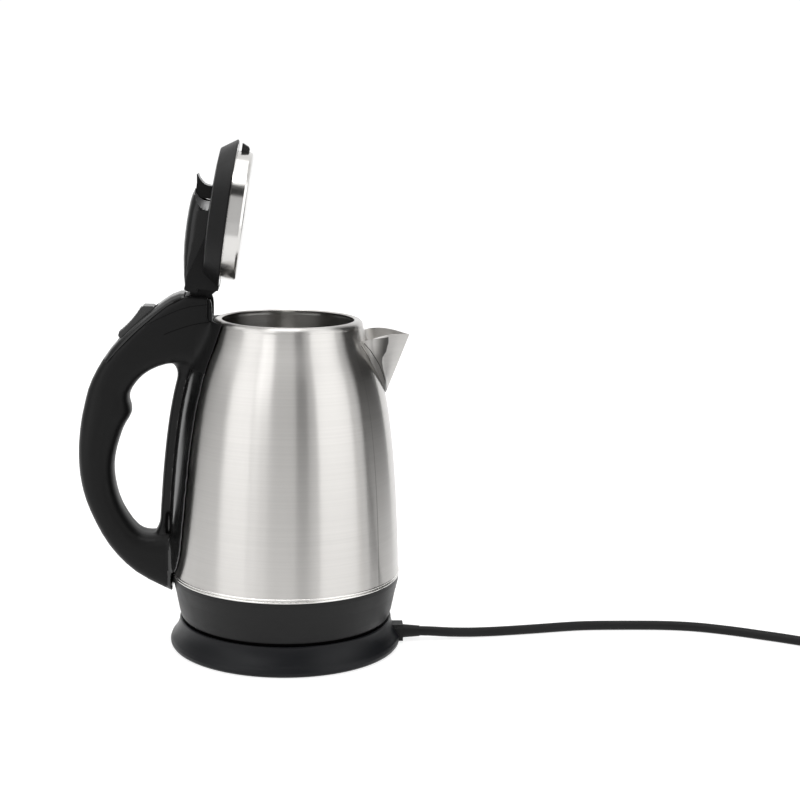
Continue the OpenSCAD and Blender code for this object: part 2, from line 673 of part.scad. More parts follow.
// Channel behind the saddle for the leads that climb to the switch, deeper through the handle's foot
module lead_channel() {
    rotate([0, 0, 180 - foot_channel_angle]) rotate_extrude(angle = 2 * foot_channel_angle)
        polygon(concat([for (z = [46:9:91]) [body_r(z) + 6.2, z]], [[40, 91], [40, 46]]));
    rotate([0, 0, 180 - lead_channel_angle]) rotate_extrude(angle = 2 * lead_channel_angle)
        polygon(concat([for (z = [90:8:202]) [body_r(z) + 4.4, z]], [[body_r(206) + 4.4, 206], [40, 206],
            [40, 90]]));
}

module lead_passages() {
    for (s = [-1, 1]) translate([-50, s * lead_side, 201.3]) rotate([0, -90 + 18, 0]) cylinder(h = 26,
        r = 1.8);
}

module steam_switch() color("ivory") {
    at_switch() {
        translate([-13, -9.8, -16]) cube([26, 19.6, 10.8]);
        for (s = [-1, 1]) difference() {
            translate([-3.4, s * 8.45 - 1.35, -5.2]) cube([6.8, 2.7, 7.5]);
            cross_pin(0, 0, 1.5 + fit, -12, 12);
        }
    }
}

module switch_rocker() color("dimgray") {
    at_switch() {
        side_plate([[16.5, 6.8], [16.1, 7.8], [11.9, 11.6], [10.6, 11.8], [5, 10.3], [-1, 9.2], [-7, 8.8],
            [-11.6, 8.9], [-12.9, 8.2], [-13.4, 6.9], [-12.4, 1.5], [-4, -2.8], [4, -2.8], [13.4, 1.5]],
                6.6);
        cross_pin(0, 0, 1.5, -9.4, 9.4);
    }
}

// ---------------------------------------------------------------- lid hinge
hinge = [-56.5, 229.4];
hinge_pin_r = 1.5;
cheek_w = 15;        // half-width over the outer cheeks
pocket_w = 11.4;     // half-width inside the handle's pocket
knuckle_w = 8.3;     // half-width of the lid's knuckle
module hinge_block() color("black") {
    difference() {
        union() {
            // outer cheeks that close the handle's end, joined by a sill under the lid's edge
            for (s = [-1, 1]) translate([0, s * (cheek_w - 2), 0])
                side_plate([[-50.6, 217.6], [-48.5, 217.6], [-48.4, 222], [-48.5, 226], [-48.9, 229],
                    [-49.7, 231], [-50.6, 231]], 2);
            translate([-50.6, -cheek_w + 2, 217.6]) cube([1.6, 2 * cheek_w - 4, 2]);
            // inner cheeks that carry the pin
            translate([-62.4, -pocket_w, 217.5]) cube([12.4, 2 * pocket_w, 2.2]);
            for (s = [-1, 1]) translate([0, s * (pocket_w - 1.35), 0])
                side_plate([[-62.4, 218], [-50, 218], [-50, 230.4], [-53.4, 231], [-60, 231],
                    [-62.4, 228.6]], 1.35);
        }
        // a small slot in the side of each outer cheek
        for (s = [-1, 1]) translate([-49.9, s * cheek_w - 0.7, 225.3]) cube([0.9, 1.4, 2.8]);
        cross_pin(hinge[0], hinge[1], hinge_pin_r + 0.02, -pocket_w - 1, pocket_w + 1);
    }
}

module hinge_pin() color("silver") {
    cross_pin(hinge[0], hinge[1], hinge_pin_r, -pocket_w + 0.1, pocket_w - 0.1);
}

// The torsion spring that opens the lid: five turns round the pin between the lid's knuckles
module lid_spring() color("silver") {
    turns = 5;
    coil = 2.55;
    steps = 12;
    helix = [for (k = [0:turns * steps]) let (a = 180 - 360 * k / steps, y = mix(2.8, -2.8,
        k / (turns * steps)))
        [hinge[0] + coil * cos(a), y, hinge[1] + coil * sin(a)]];
    sweep(concat([[hinge[0] - coil, 2.8, 220], [hinge[0] - coil, 2.8, 225]], helix), 0.4, 6, [0, 1, 0]);
}

// ---------------------------------------------------------------- lid
// The lid's pieces are shaped closed, over the rim, and turned open about the hinge.
lid_z = 218.6;       // underside of the lid's rim when closed
module opened() {
    translate([hinge[0], 0, hinge[1]]) rotate([0, -lid_open, 0]) translate([-hinge[0],
        0, -hinge[1]]) children();
}

gusset = [[-14.6, 229], [-14.6, 230.9], [-41.6, 239.2], [-49.3, 239.9], [-50.3, 238.4], [-50.3, 231.6],
    [-47.9, 231.3], [-47.7, 224], [-47.4, lid_z], [-38, lid_z], [-30, 229]];
gusset_w = 18;
hump_top = spline([[14.5, 241.6], [9, 243.4], [0, 244.3], [-13, 244.6], [-26, 244], [-40, 242],
    [-50.4, 239.6]], 3);
hump_low = [[-50.4, 237.5], [-41.6, 239.2], [-14.6, 231.4], [14.5, 231.4]];
hump_w = 14;
latch_w = 4.5;       // half-width of the latch's tongue
stem_x = 9.5;        // back of the stem that joins the latch to its button
button_x = 8.6;      // back of the button

cover_ceiling = [[0, 229.2], [39, 227.5], [39.8, 227.1]];

module lid_cover() color("black") {
    opened() difference() {
        union() {
            rotate_extrude() polygon([[0, lid_z], [lid_r - 0.6, lid_z], [lid_r, lid_z + 0.5],
                [lid_r, lid_z + 1],
                [41.6, 228.9], [41, 229.4], [33, 230.3], [24, 230.9], [15, 231.25], [0, 231.25]]);
            side_plate(gusset, gusset_w);
            // web and knuckle
            side_plate([[-56.5, 233.6], [-50.3, 237.3], [-44, 237.3], [-44, lid_z], [-47.2, lid_z],
                [-52.8, 223.5],
                [-56.5, 225.2]], knuckle_w);
            cross_pin(hinge[0], hinge[1], 4.2, -knuckle_w, knuckle_w);
        }
        // hollow over the pan
        rotate_extrude() polygon(concat([[0, lid_z - 5], [45.9, lid_z - 5], [45.9, lid_z + 1]],
            reversed(cover_ceiling)));
        cross_pin(hinge[0], hinge[1], hinge_pin_r + fit, -20, 20);
        // room for the spring
        translate([-64, -3.5, 220]) cube([12, 7, 20]);
        // the end of the hump's seat
        side_plate([[-53, 236.9], [-50.4, 237.45], [-41.5, 239.17], [-41.5, 250], [-53, 250]],
            hump_w + 0.1);
        // slot of the latch's stem, and screws into the hump
        translate([stem_x - latch_travel - 0.7, -3.4, 220]) cube([latch_travel + 5.8, 6.8, 20]);
        for (x = hump_screw_x) translate([x, 0, 220]) cylinder(h = 20, r = 1.5);
    }
}

// The glossy hump over the hinge and the latch's button, as a loft of arched sections along X
hump_screw_x = [-36, -14];
function hump_section(x) =
    let (top = lookup(x, reversed(hump_top)), low = lookup(x, hump_low),
         w = hump_w - max(x + 2, 0) * 0.1, h = top - low, n = 14)
    concat([[x, w, low], [x, -w, low]],
        [for (k = [0:n]) let (a = mix(180, 0, k / n), e = 2 / 3.4)
            [x, w * signed_pow(cos(a), e), low + 0.3 + (h - 0.3) * signed_pow(sin(a), e)]]);

// The hump's front edge in the X-Z plane: at its sides, and where its scoop meets the button's recess
hump_rim = spline([[1.6, 230.6], [0.8, 233.4], [1.6, 236.4], [4.6, 240], [8.4, 243.3], [11, 245.5]], 2);
hump_scoop = spline([[7.4, 230.6], [7.3, 233.4], [7.8, 236.4], [9.6, 239.2], [13.1, 241.6], [17, 243.8]],
    2);
front_far = [[30, 245.5], [30, 230.6]];
scoop_w = 8;
button_recess_w = 7.7;
function front_cut(y, edge) = [for (p = concat(edge, front_far)) [p[0], y, p[1]]];

module lid_hump() color("black") {
    opened() difference() {
        loft([for (x = [-50.4, -47, -41.6, -36, -30, -22, -14.6, -8, 0, 6, 10, 14.5]) hump_section(x)]);
        // scooped front end: deep between the button's sides, and coming forward to a sharp rim
        loft([front_cut(-hump_w - 0.5, hump_rim), front_cut(-scoop_w, hump_scoop),
            front_cut(scoop_w, hump_scoop), front_cut(hump_w + 0.5, hump_rim)]);
        // the recess that the button slides in
        translate([button_x - latch_travel - 1, -button_recess_w, 225]) cube([20, 2 * button_recess_w,
            16.5]);
        for (x = hump_screw_x) translate([x, 0, 225]) cylinder(h = 13, r = 1.3);
    }
}

module lid_pan() color("silver") {
    opened() difference() {
        rotate_extrude() polygon([[0, 208.4], [pan_r - 2, 208.4], [pan_r - 0.6, 209], [pan_r, 210.4],
            [pan_r, lid_z + 0.1],
            [45.6, lid_z + 0.1], [45.6, lid_z + 0.7], [pan_r - 0.6, lid_z + 0.7], [pan_r - 0.6, 210.7],
            [pan_r - 2.2, 209], [0, 209]]);
        translate([30, -latch_w - 0.5, 211]) cube([20, 2 * latch_w + 1, 5.8]);
    }
}

module lid_screws() color("silver") {
    opened() for (x = hump_screw_x) translate([x, 0, lookup(abs(x) + 2.6,
        cover_ceiling) - 1.42]) screw(2.6, 1.25, 10);
}

// The channel that guides the latch inside the pan
module latch_carrier() color("black") {
    opened() {
        translate([-12, -7.6, 209.2]) cube([49, 15.2, 1.8]);
        for (s = [-1, 1]) translate([-12, s * 6.2 - 1.2, 210.9]) cube([49, 2.4, 7.1]);
        translate([-12, -7, 210.9]) cube([2, 14, 7.1]);
    }
}

module latch_spring() color("silver") {
    turns = 6;
    steps = 12;
    opened() sweep([for (k = [0:turns * steps]) let (a = 360 * k / steps, x = mix(-9.5, 1.4,
        k / (turns * steps)))
        [x, 1.7 * cos(a), 214.1 + 1.7 * sin(a)]], 0.35, 6, [1, 0, 0]);
}

module latch_slide() color("black") {
    opened() {
        side_plate([[2, 211.3], [43.2, 211.3], [44.5, 212.2], [46.3, 216.2], [2, 216.2]], latch_w);
        translate([stem_x, -2.8, 216]) cube([4, 5.6, 15.5]);
    }
}

module lid_button() color("black") {
    opened() side_plate([[button_x, 231.6], [16.8, 231.6], [17, 234.5], [17.5, 236.2], [18.4, 237.6],
        [20.6, 239.9],
        [23.2, 241.4], [22.8, 241.9], [17.6, 241.2], [button_x, 241]], 7.3);
}

base_cover();
base_plate();
base_feet();
base_screws();
base_socket();
socket_contacts();
base_leads();
lead_clamp();
strain_relief();
cord();
cord_coil();
cord_tail();
cord_tie();
plug_body();
plug_pins();
shutter_ring();
vessel();
seam_ring();
spout();
spout_filter();
heater_plate();
heating_element();
control_unit();
control_discs();
kettle_connector();
connector_pins();
bottom_housing();
bottom_cover();
bottom_screws();
handle_saddle();
handle_shell();
handle_trim();
handle_screw();
hinge_block();
hinge_pin();
lid_spring();
steam_switch();
steam_tube();
handle_leads();
switch_rocker();
lid_cover();
lid_hump();
lid_pan();
lid_screws();
latch_carrier();
latch_spring();
latch_slide();
lid_button();
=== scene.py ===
# %% [markdown]
# # An electric kettle, open on its power base
# A jug of brushed steel stands on a round black base. The shapes that move and fasten come ready made as
# a frame of separate parts. This lesson gives each part its finish, adds the fine work that only shows up
# close, lays the mains lead on the table, and sets up a small white studio round it all.

# %% Load the frame
import json
from math import cos, hypot, pi, radians, sin

import bmesh
import bpy
from mathutils import Matrix, Vector
from mathutils.bvhtree import BVHTree
from mathutils.geometry import interpolate_bezier


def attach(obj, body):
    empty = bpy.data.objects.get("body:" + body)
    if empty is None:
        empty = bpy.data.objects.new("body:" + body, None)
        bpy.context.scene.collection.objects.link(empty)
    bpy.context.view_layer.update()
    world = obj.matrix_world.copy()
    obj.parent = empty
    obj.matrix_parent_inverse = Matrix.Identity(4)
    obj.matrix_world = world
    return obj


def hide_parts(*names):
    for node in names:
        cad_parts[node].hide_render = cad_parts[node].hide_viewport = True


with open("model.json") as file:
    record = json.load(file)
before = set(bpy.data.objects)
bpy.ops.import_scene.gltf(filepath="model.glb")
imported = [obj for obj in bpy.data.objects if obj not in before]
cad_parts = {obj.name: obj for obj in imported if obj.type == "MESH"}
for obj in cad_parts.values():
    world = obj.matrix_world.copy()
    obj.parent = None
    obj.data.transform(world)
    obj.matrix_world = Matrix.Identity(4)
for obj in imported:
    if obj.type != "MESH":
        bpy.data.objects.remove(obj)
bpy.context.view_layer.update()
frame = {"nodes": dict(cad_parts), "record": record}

MM = 0.001
print("parts in the frame:", len(frame["nodes"]))

# %% [markdown]
# ## The camera
# A long lens about a metre away keeps the kettle's sides nearly parallel. The camera looks a little down,
# so the mouth shows as a thin oval. It is aimed first and rolled last, about its own line of sight.

# %% Camera
LENS_MM = 73.44
CAMERA_AT = (0, -1.051, 0.363)
camera_data = bpy.data.cameras.new("camera")
camera_data.lens = LENS_MM
camera = bpy.data.objects.new("camera", camera_data)
bpy.context.scene.collection.objects.link(camera)
pitch_down, turn_right, roll = radians(10.67), radians(4.01), radians(1.21)
aim = Matrix.Rotation(-turn_right, 4, "Z") @ Matrix.Rotation(pi / 2 - pitch_down, 4, "X")
camera.matrix_world = Matrix.Translation(CAMERA_AT) @ aim @ Matrix.Rotation(roll, 4, "Z")
bpy.context.scene.camera = camera
print("camera at", [round(v, 3) for v in camera.matrix_world.translation])

# %% [markdown]
# ## The mains lead
# The lead leaves a sleeve on the base, drops to the table in a hand's width, and wanders off in one loose
# S. What isn't needed is wound into a flat coil, tied, with the plug beside it. A poly curve with
# a round bevel is the simplest true tube, because its line is also its length.

# %% Route of the lead
LEAD_D = 6.4 * MM
lead_on_table = [
    (90, 0, 6), (97, 0, 5.8), (104, 0.3, 5.3), (111, 1.1, 4.7), (118, 2.2, 4.2), (125, 3.6, 3.7),
    (132, 5, 3.4), (142, 6.4, 3.3), (153, 8.2, 3.3), (164, 10.3, 3.3), (175, 12.5, 3.3), (188, 15.3, 3.3),
    (203, 17.9, 3.3), (217, 18.8, 3.3), (231, 19, 3.3), (245, 19, 3.3), (259, 18.6, 3.3), (273, 17.1, 3.3),
    (286, 14.2, 3.3), (299, 9.6, 3.3), (312, 4, 3.3), (324, -2, 3.3), (336, -8, 3.3), (348, -14.6, 3.3),
    (359, -20.6, 3.3), (370, -26.2, 3.3), (379, -30.3, 3.4), (388, -33.4, 3.6)]
coil_centre, coil_radius = (408, -1), 36
coil_starts, coil_ends, degrees_a_point = -109, 540, 11
climb_starts, climb_ends = 165, 248   # degrees round the coil
low_turn, high_turn = 3.9, 10.5
tail = [(372, -8, 10.6), (372, -14, 10.6), (372, -22, 10.8), (372, -30, 11.1), (372, -38, 11.6),
        (372, -46, 12)]
POINTS_A_BEND = 5


def coil_height(angle):
    """The first turn lies on the table, and the second climbs on top of it where the first began."""
    t = min(max((angle - climb_starts) / (climb_ends - climb_starts), 0), 1)
    return low_turn + (high_turn - low_turn) * t * t * (3 - 2 * t)


coil = [(coil_centre[0] + coil_radius * cos(radians(a)), coil_centre[1] + coil_radius * sin(radians(a)),
         coil_height(a)) for a in range(coil_starts, coil_ends + 1, degrees_a_point)]
route = [Vector(p) * MM for p in lead_on_table + coil + tail]
print("lead, measured point to point:", round(sum((b - a).length for a, b in zip(route, route[1:])), 3), "m")

# %% The lead itself
lead_curve = bpy.data.curves.new("mains_lead", "CURVE")
lead_curve.dimensions = "3D"
lead_curve.bevel_depth, lead_curve.bevel_resolution = 1, 6   # a metre, times each point's own radius
lead_curve.use_fill_caps = True
fine_route = []
for before, a, b, after in zip(route[:1] + route, route, route[1:], route[2:] + route[-1:]):
    bend = [a, a + (b - before) / 6, b - (after - a) / 6, b]
    fine_route += interpolate_bezier(*bend, POINTS_A_BEND)[:-1]
fine_route.append(route[-1])
line = lead_curve.splines.new("POLY")
line.points.add(len(fine_route) - 1)
for knot, point in zip(line.points, fine_route):
    knot.co, knot.radius = (*point, 1), LEAD_D / 2
mains_lead = bpy.data.objects.new("mains_lead", lead_curve)
bpy.context.scene.collection.objects.link(mains_lead)
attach(mains_lead, "power_base")
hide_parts("cord", "cord_coil", "cord_tail")
print("points along the lead:", len(fine_route))

# %% [markdown]
# ## The studio
# The kettle stands on pure white, so the floor glows a little by itself and hardly takes a shadow. Bare steel
# shows only what stands round it. A ring of tall cards does the drawing: bright ones make the broad lights
# down the jug, and dark ones make the bands between them. The camera sees the cards only as reflections.

# %% Floor and sky
scene = bpy.context.scene
floor_mesh = bpy.data.meshes.new("floor")
floor = bpy.data.objects.new("floor", floor_mesh)
scene.collection.objects.link(floor)
floor_size = 12
SKY_GLOW, FLOOR_GLOW = 1.05, 0.75
bm = bmesh.new()
bmesh.ops.create_grid(bm, x_segments=1, y_segments=1, size=floor_size / 2)
bm.to_mesh(floor_mesh)
bm.free()

sky = bpy.data.worlds.new("sky")
scene.world = sky
sky.use_nodes = True
sky.node_tree.nodes["Background"].inputs["Color"].default_value = (1, 1, 1, 1)
sky.node_tree.nodes["Background"].inputs["Strength"].default_value = SKY_GLOW
scene.view_settings.view_transform = "Standard"
print("floor", floor_size, "m across")


# %% Cards
def card_material(name, glow):
    """Paper of a card. Glow is its brightness, and a card with no glow is black."""
    paper = bpy.data.materials.new(name)
    paper.use_nodes = True
    shader = paper.node_tree.nodes["Principled BSDF"]
    shader.inputs["Base Color"].default_value = (0.01, 0.01, 0.01, 1)
    shader.inputs["Specular IOR Level"].default_value = 0
    shader.inputs["Emission Color"].default_value = (1, 1, 1, 1)
    shader.inputs["Emission Strength"].default_value = glow
    return paper


def card(name, start, end, ring, heights, glow):
    """A curved card round the kettle. Start and end are degrees round from the camera's side towards the
    spout, ring its radius at its lower and upper edge, and heights those edges' heights."""
    mesh = bpy.data.meshes.new(name)
    bm = bmesh.new()
    edge = bm.verts.new((0, -ring[0], heights[0])), bm.verts.new((0, -ring[1], heights[1]))
    line = bm.edges.new(edge)
    spun = bmesh.ops.spin(bm, geom=[*edge, line], cent=(0, 0, 0), axis=(0, 0, 1), steps=24,
                          angle=radians(end - start))
    bmesh.ops.rotate(bm, verts=bm.verts, cent=(0, 0, 0), matrix=Matrix.Rotation(radians(start), 3, "Z"))
    bm.to_mesh(mesh)
    bm.free()
    mesh.materials.append(card_material(name, glow))
    panel = bpy.data.objects.new(name, mesh)
    scene.collection.objects.link(panel)
    panel.visible_camera = False
    return panel


cards = [
    card("left_light", -68, -39, (0.95, 0.95), (0.002, 1.3), 1.95),
    card("camera_dark", 9.5, 23, (1.5, 1.5), (0.002, 1.7), 0.05),
    card("camera_wall", -30, 33, (1.9, 1.9), (0.002, 1.7), 0.72),
    card("right_light", 33, 74, (0.95, 0.95), (0.002, 1.3), 1.95),
    card("right_dark", 88, 133, (0.8, 0.8), (0.002, 1.2), 0.0),
    card("left_wall", -128, -72, (1.1, 1.1), (0.002, 1.4), 0.55),
    card("table_front", -30, 33, (0.5, 1.88), (0.001, 0.001), 0.8),
    card("overhead_dark", -60, 60, (0.8, 1.7), (1.62, 1.62), 0.0),
    card("shoulder_light", -125, -80, (0.12, 1.1), (1.35, 0.95), 2.6),
    card("top_light", -75, 55, (0.14, 0.5), (1.35, 1.35), 7.0)]
print("cards:", len(cards))


# %% [markdown]
# ## Finishes
# Every finish is one Principled shader. A few noise textures on the object's own coordinates add the fine
# things that the real surface has: spark-eroded grain on the plastics, brushing on the steel.

# %% Helpers for finishes
MIX_A, MIX_B, MIX_OUT = 6, 7, 2   # the colour sockets of a Mix node
GLOSS_PATCHES, GRAINS = (60, 60, 60), (2600, 2600, 2600)   # a metre along X, Y and Z


def finish(name, colour, roughness, metallic=0.0, coat=0.0, shine=0.5):
    """A new material and its Principled shader. Colour is linear red, green, blue."""
    material = bpy.data.materials.new(name)
    material.use_nodes = True
    shader = material.node_tree.nodes["Principled BSDF"]
    shader.inputs["Base Color"].default_value = (*colour, 1)
    shader.inputs["Roughness"].default_value = roughness
    shader.inputs["Metallic"].default_value = metallic
    shader.inputs["Coat Weight"].default_value = coat
    shader.inputs["Specular IOR Level"].default_value = shine
    return material, shader


def noise(material, stretch, detail=2.0):
    """Noise on the object's own coordinates; stretch is the number of grains a metre along X, Y and Z."""
    tree = material.node_tree
    where = tree.nodes.new("ShaderNodeTexCoord")
    mapping = tree.nodes.new("ShaderNodeMapping")
    mapping.inputs["Scale"].default_value = stretch
    texture = tree.nodes.new("ShaderNodeTexNoise")
    texture.inputs["Scale"].default_value = 1
    texture.inputs["Detail"].default_value = detail
    tree.links.new(where.outputs["Object"], mapping.inputs["Vector"])
    tree.links.new(mapping.outputs["Vector"], texture.inputs["Vector"])
    return texture


def grain(material, shader, stretch, depth, detail=2.0):
    """Fine bumps, depth in metres."""
    tree = material.node_tree
    bump = tree.nodes.new("ShaderNodeBump")
    bump.inputs["Strength"].default_value = 1
    bump.inputs["Distance"].default_value = depth
    tree.links.new(noise(material, stretch, detail).outputs["Fac"], bump.inputs["Height"])
    tree.links.new(bump.outputs["Normal"], shader.inputs["Normal"])


def vary(material, shader, socket, stretch, low, high, detail=3.0):
    """Lets a number or a colour of the shader wander between two values."""
    tree = material.node_tree
    fac = noise(material, stretch, detail).outputs["Fac"]
    if isinstance(low, tuple):
        blend = tree.nodes.new("ShaderNodeMix")
        blend.data_type = "RGBA"
        blend.inputs[MIX_A].default_value, blend.inputs[MIX_B].default_value = (*low, 1), (*high, 1)
        tree.links.new(fac, blend.inputs["Factor"])
        tree.links.new(blend.outputs[MIX_OUT], shader.inputs[socket])
    else:
        spread = tree.nodes.new("ShaderNodeMapRange")
        spread.inputs["From Min"].default_value, spread.inputs["From Max"].default_value = 0.3, 0.7
        spread.inputs["To Min"].default_value, spread.inputs["To Max"].default_value = low, high
        tree.links.new(fac, spread.inputs["Value"])
        tree.links.new(spread.outputs["Result"], shader.inputs[socket])


def plastic(name, shade, roughness, grain_depth=0.00004, coat=0.0, tint=(1, 1, 1.02), shine=0.3):
    """A moulded plastic with a fine grain and slightly uneven gloss."""
    material, shader = finish(name, tuple(shade * t for t in tint), roughness, coat=coat, shine=shine)
    vary(material, shader, "Roughness", GLOSS_PATCHES, roughness - 0.04, roughness + 0.05)
    if grain_depth:
        grain(material, shader, GRAINS, grain_depth)
    return material


print("helpers for finishes are ready")


# %% Plastics and rubber
base_plastic = plastic("base_plastic", 0.006, 0.36, tint=(0.93, 1.0, 1.2), shine=0.16)
housing_plastic = plastic("housing_plastic", 0.007, 0.42, shine=0.2)
handle_plastic = plastic("handle_plastic", 0.0055, 0.40, shine=0.14)
gloss_plastic = plastic("gloss_plastic", 0.004, 0.2, grain_depth=0, shine=0.3)
collar_gloss = plastic("collar_gloss", 0.004, 0.14, grain_depth=0, shine=0.6)
# A light grey with some real gloss: the grey is a painted reflection of the white sky, for faces that look
# up.
painted_sky_reflection = plastic("painted_sky_reflection", 0.09, 0.3, grain_depth=0, shine=0.8)
inner_plastic = plastic("inner_plastic", 0.012, 0.5)
ivory_plastic = plastic("ivory_plastic", 0.6, 0.45, tint=(1.0, 0.93, 0.8))
rocker_plastic = plastic("rocker_plastic", 0.006, 0.28, shine=0.8)
lead_rubber = plastic("lead_rubber", 0.008, 0.45, shine=0.15)
foot_rubber = plastic("foot_rubber", 0.010, 0.7)
wire_sleeve = plastic("wire_sleeve", 0.012, 0.5)
seam_black = plastic("seam_black", 0.0008, 0.8, grain_depth=0, shine=0.05)
print("plastics:", len(bpy.data.materials))

# %% [markdown]
# ## Brushed steel
# Steel turned against a brush has fine lines that run round it, so its lights smear up and down. A few Math
# nodes on the object's own coordinates can then say where it is darker: along a weld, or inside a fold.

# %% Helpers for steel
def brushed(name, colour, roughness, stretch):
    """Steel with fine lines that run round it: sharp along the lines' way, smeared across them."""
    material, shader = finish(name, colour, roughness, metallic=1)
    shader.inputs["Anisotropic"].default_value = 1
    shader.inputs["Anisotropic Rotation"].default_value = 0.25
    vary(material, shader, "Roughness", stretch, roughness - 0.012, roughness + 0.012)
    grain(material, shader, (stretch[0] * 2, stretch[1] * 2, stretch[2] * 3), 0.0000006)
    vary(material, shader, "Base Color", (stretch[0], stretch[1], stretch[2] * 0.7),
         tuple(c * 0.93 for c in colour), tuple(c * 1.07 for c in colour), detail=4)
    return material, shader


def socket_math(tree, operation, *values):
    """A Math node over numbers or sockets, and its result."""
    node = tree.nodes.new("ShaderNodeMath")
    node.operation = operation
    for socket, value in zip(node.inputs, values):
        if isinstance(value, (int, float)):
            socket.default_value = value
        else:
            tree.links.new(value, socket)
    return node.outputs[0]


def between(tree, value, low, high):
    """Rises smoothly from 0 where value is low to 1 where it is high."""
    ramp = tree.nodes.new("ShaderNodeMapRange")
    ramp.interpolation_type = "SMOOTHSTEP"
    for socket, number in (("From Min", low), ("From Max", high)):
        if isinstance(number, (int, float)):
            ramp.inputs[socket].default_value = number
        else:
            tree.links.new(number, ramp.inputs[socket])
    tree.links.new(value, ramp.inputs["Value"])
    return ramp.outputs["Result"]


def object_axes(tree):
    """The object's own X, Y and Z, in metres."""
    where = tree.nodes.new("ShaderNodeTexCoord")
    split = tree.nodes.new("ShaderNodeSeparateXYZ")
    tree.links.new(where.outputs["Object"], split.inputs[0])
    return split.outputs


def darken(material, shader, mask, colour):
    """Blends the base colour to another one where the mask is 1."""
    tree = material.node_tree
    blend = tree.nodes.new("ShaderNodeMix")
    blend.data_type = "RGBA"
    plain = shader.inputs["Base Color"].links[0].from_socket
    tree.links.new(plain, blend.inputs[MIX_A])
    blend.inputs[MIX_B].default_value = (*colour, 1)
    tree.links.new(mask, blend.inputs["Factor"])
    tree.links.new(blend.outputs[MIX_OUT], shader.inputs["Base Color"])


print("helpers for steel are ready")

# %% [markdown]
# ## The jug and its weld
# The jug is one sheet, rolled and welded upright. The weld is a faint dark line, strongest near the foot.

# %% Jug steel
WELD_AT = radians(37)   # round from the spout towards the camera's side
WELD_CORE, WELD_EDGE = 0.003, 0.009   # radians off the weld: full strength, and none
WELD_FADES_FROM, WELD_FADES_TO = 0.085, 0.19   # heights in metres
WELD_FAINTEST, WELD_SHARE = 0.3, 0.5
jug_steel, jug_shader = brushed("jug_steel", (0.515, 0.503, 0.487), 0.3, (6, 6, 1400))
brushed_steel, steel_shader = brushed("brushed_steel", (0.515, 0.503, 0.487), 0.3, (40, 40, 900))
jug_tree = jug_steel.node_tree
jug_x, jug_y, jug_z = object_axes(jug_tree)
round_jug = socket_math(jug_tree, "ARCTAN2", jug_y, jug_x)
off_weld = socket_math(jug_tree, "ABSOLUTE", socket_math(jug_tree, "ADD", round_jug, WELD_AT))
weld_line = socket_math(jug_tree, "SUBTRACT", 1.0, between(jug_tree, off_weld, WELD_CORE, WELD_EDGE))
weld_fade = socket_math(jug_tree, "SUBTRACT", 1.0, between(jug_tree, jug_z, WELD_FADES_FROM, WELD_FADES_TO))
weld_strength = socket_math(jug_tree, "ADD", weld_fade, WELD_FAINTEST)
weld_strength = socket_math(jug_tree, "MULTIPLY", weld_strength, WELD_SHARE)
darken(jug_steel, jug_shader, socket_math(jug_tree, "MULTIPLY", weld_line, weld_strength), (0.2, 0.19, 0.18))
print("weld", round(WELD_AT * 180 / pi), "degrees round from the spout")

# %% [markdown]
# ## The spout and its fold
# The spout is folded from sheet, and the metal behind the crease lies in its own shade. A curve node holds
# the crease's line seen from the side. Steel behind that line, on the outer faces only, is drawn darker.

# %% Spout steel
fold_line = [(65.6, 170), (64.4, 177.7), (62.7, 184.2), (61.3, 190), (60.9, 193.7), (62.0, 196.9),
             (63.5, 199.3), (64.2, 202.5), (64.8, 205.1), (64.7, 209)]   # X and Z in mm
FOLD_EDGE = (0.0001, 0.0007)    # metres behind the crease over which the shade begins
FOLD_DEPTH = (0.002, 0.018)     # and over which its deepest part thins out
DEEPEST, SHALLOWEST = 0.72, 0.2
LIP = (0.2082, 0.2089)          # heights over which it ends below the lip
OUTER = (0.0, 0.05)             # how far a face has to look outwards
spout_steel, spout_shader = brushed("spout_steel", (0.68, 0.665, 0.645), 0.3, (60, 60, 900))
spout_tree = spout_steel.node_tree
spout_x, spout_y, spout_z = object_axes(spout_tree)
fold = spout_tree.nodes.new("ShaderNodeFloatCurve")
fold_curve = fold.mapping.curves[0]
fold_low, fold_high = fold_line[0][1], fold_line[-1][1]
fold_x = [x for x, z in fold_line]
for index, (x, z) in enumerate(fold_line):
    at = (z - fold_low) / (fold_high - fold_low), (x - min(fold_x)) / (max(fold_x) - min(fold_x))
    if index in (0, len(fold_line) - 1):
        fold_curve.points[0 if index == 0 else -1].location = at
    else:
        fold_curve.points.new(*at)
fold.mapping.update()
along = spout_tree.nodes.new("ShaderNodeMapRange")
along.inputs["From Min"].default_value = fold_low * MM
along.inputs["From Max"].default_value = fold_high * MM
spout_tree.links.new(spout_z, along.inputs["Value"])
spout_tree.links.new(along.outputs["Result"], fold.inputs["Value"])
across = spout_tree.nodes.new("ShaderNodeMapRange")
across.inputs["To Min"].default_value = min(fold_x) * MM
across.inputs["To Max"].default_value = max(fold_x) * MM
spout_tree.links.new(fold.outputs["Value"], across.inputs["Value"])
behind_fold = socket_math(spout_tree, "SUBTRACT", across.outputs["Result"], spout_x)
in_shade = between(spout_tree, behind_fold, *FOLD_EDGE)
deepen = socket_math(spout_tree, "SUBTRACT", 1.0, between(spout_tree, behind_fold, *FOLD_DEPTH))
below_lip = socket_math(spout_tree, "SUBTRACT", 1.0, between(spout_tree, spout_z, *LIP))
facing = spout_tree.nodes.new("ShaderNodeNewGeometry")
sides = spout_tree.nodes.new("ShaderNodeSeparateXYZ")
spout_tree.links.new(facing.outputs["True Normal"], sides.inputs[0])
spout_side = socket_math(spout_tree, "SIGN", spout_y)
outwards = socket_math(spout_tree, "MULTIPLY", sides.outputs[1], spout_side)
in_shade = socket_math(spout_tree, "MULTIPLY", in_shade, between(spout_tree, outwards, *OUTER))
depth = socket_math(spout_tree, "MULTIPLY", deepen, DEEPEST)
depth = socket_math(spout_tree, "ADD", depth, SHALLOWEST)
fold_shade = socket_math(spout_tree, "MULTIPLY", in_shade, depth)
